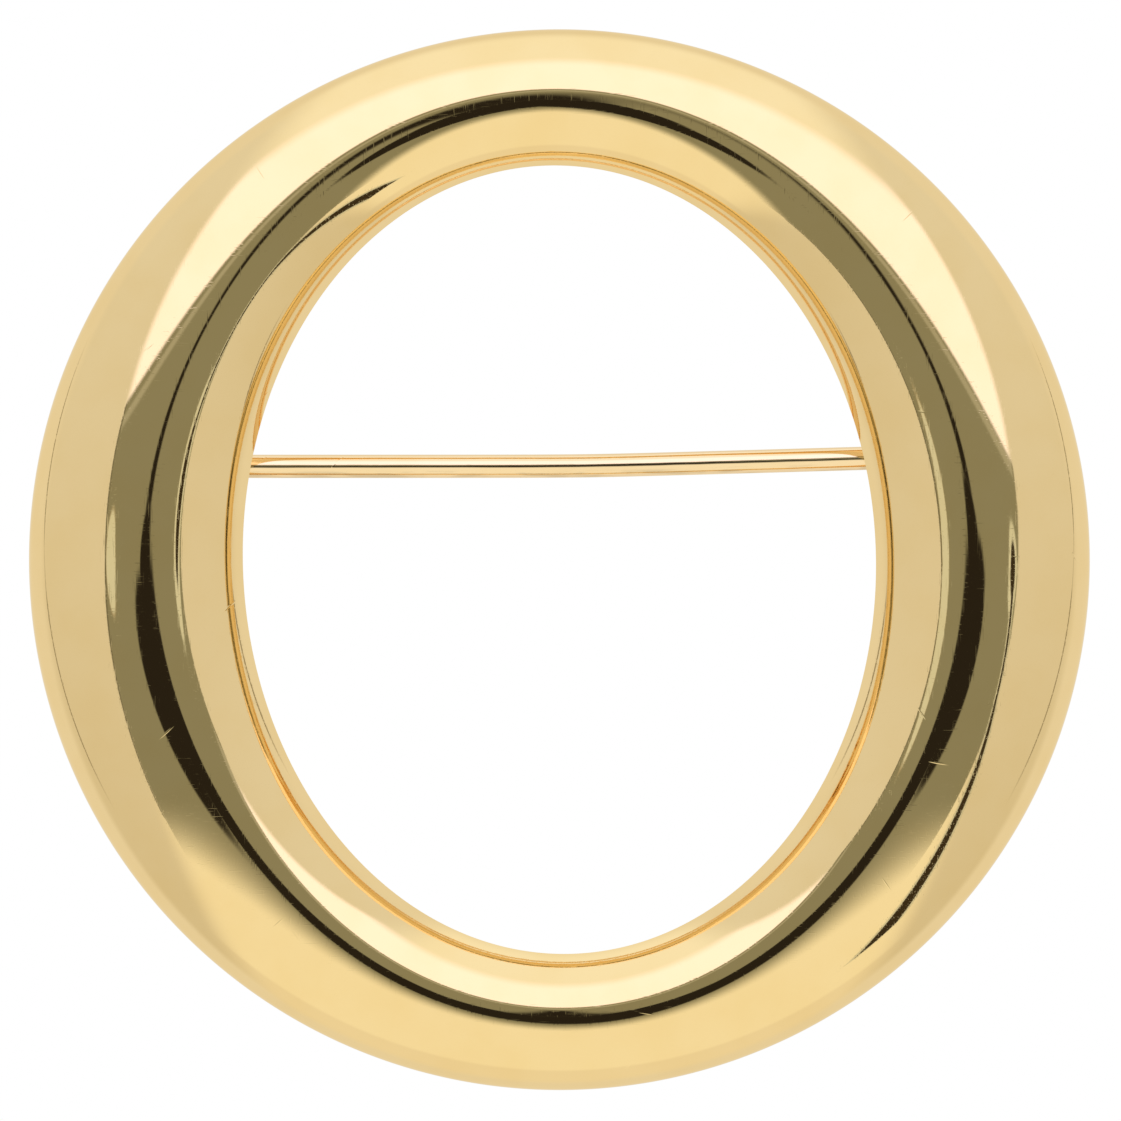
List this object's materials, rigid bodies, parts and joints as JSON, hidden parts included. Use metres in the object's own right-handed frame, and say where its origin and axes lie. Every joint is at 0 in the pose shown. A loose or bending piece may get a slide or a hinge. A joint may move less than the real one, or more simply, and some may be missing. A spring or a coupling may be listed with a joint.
{
  "type": "oval-opening ring brooch",
  "caption": "Round domed gold brooch with a smooth dome that runs down to an oval opening, crossed at the back by a hinged pin stem that ends in a C catch.",
  "frame": {"origin": "centre of the ring on the plane that its rim rests on, with the brooch lying on its back", "axes": "+Z out of the domed front, +Y to the top of the oval opening, +X to the wearer-facing viewer's right, where the catch is"},
  "size_m": [0.043, 0.043, 0.0059],
  "materials": {
    "polished_gold": "polished gold with fine wear scratches",
    "gold_wire": "drawn and polished gold wire"
  },
  "bodies": {
    "brooch": {"ring_body": "polished_gold", "hinge_rivet": "gold_wire"},
    "pin": {"pin_stem": "gold_wire"}
  },
  "joints": [
    {"name": "pin_hinge", "type": "hinge", "parent": "brooch", "child": "pin", "pos_m": [-0.01644, 0.0038, 0.00095], "axis": [0, 1, 0], "range_deg": [0, 80]}
  ]
}
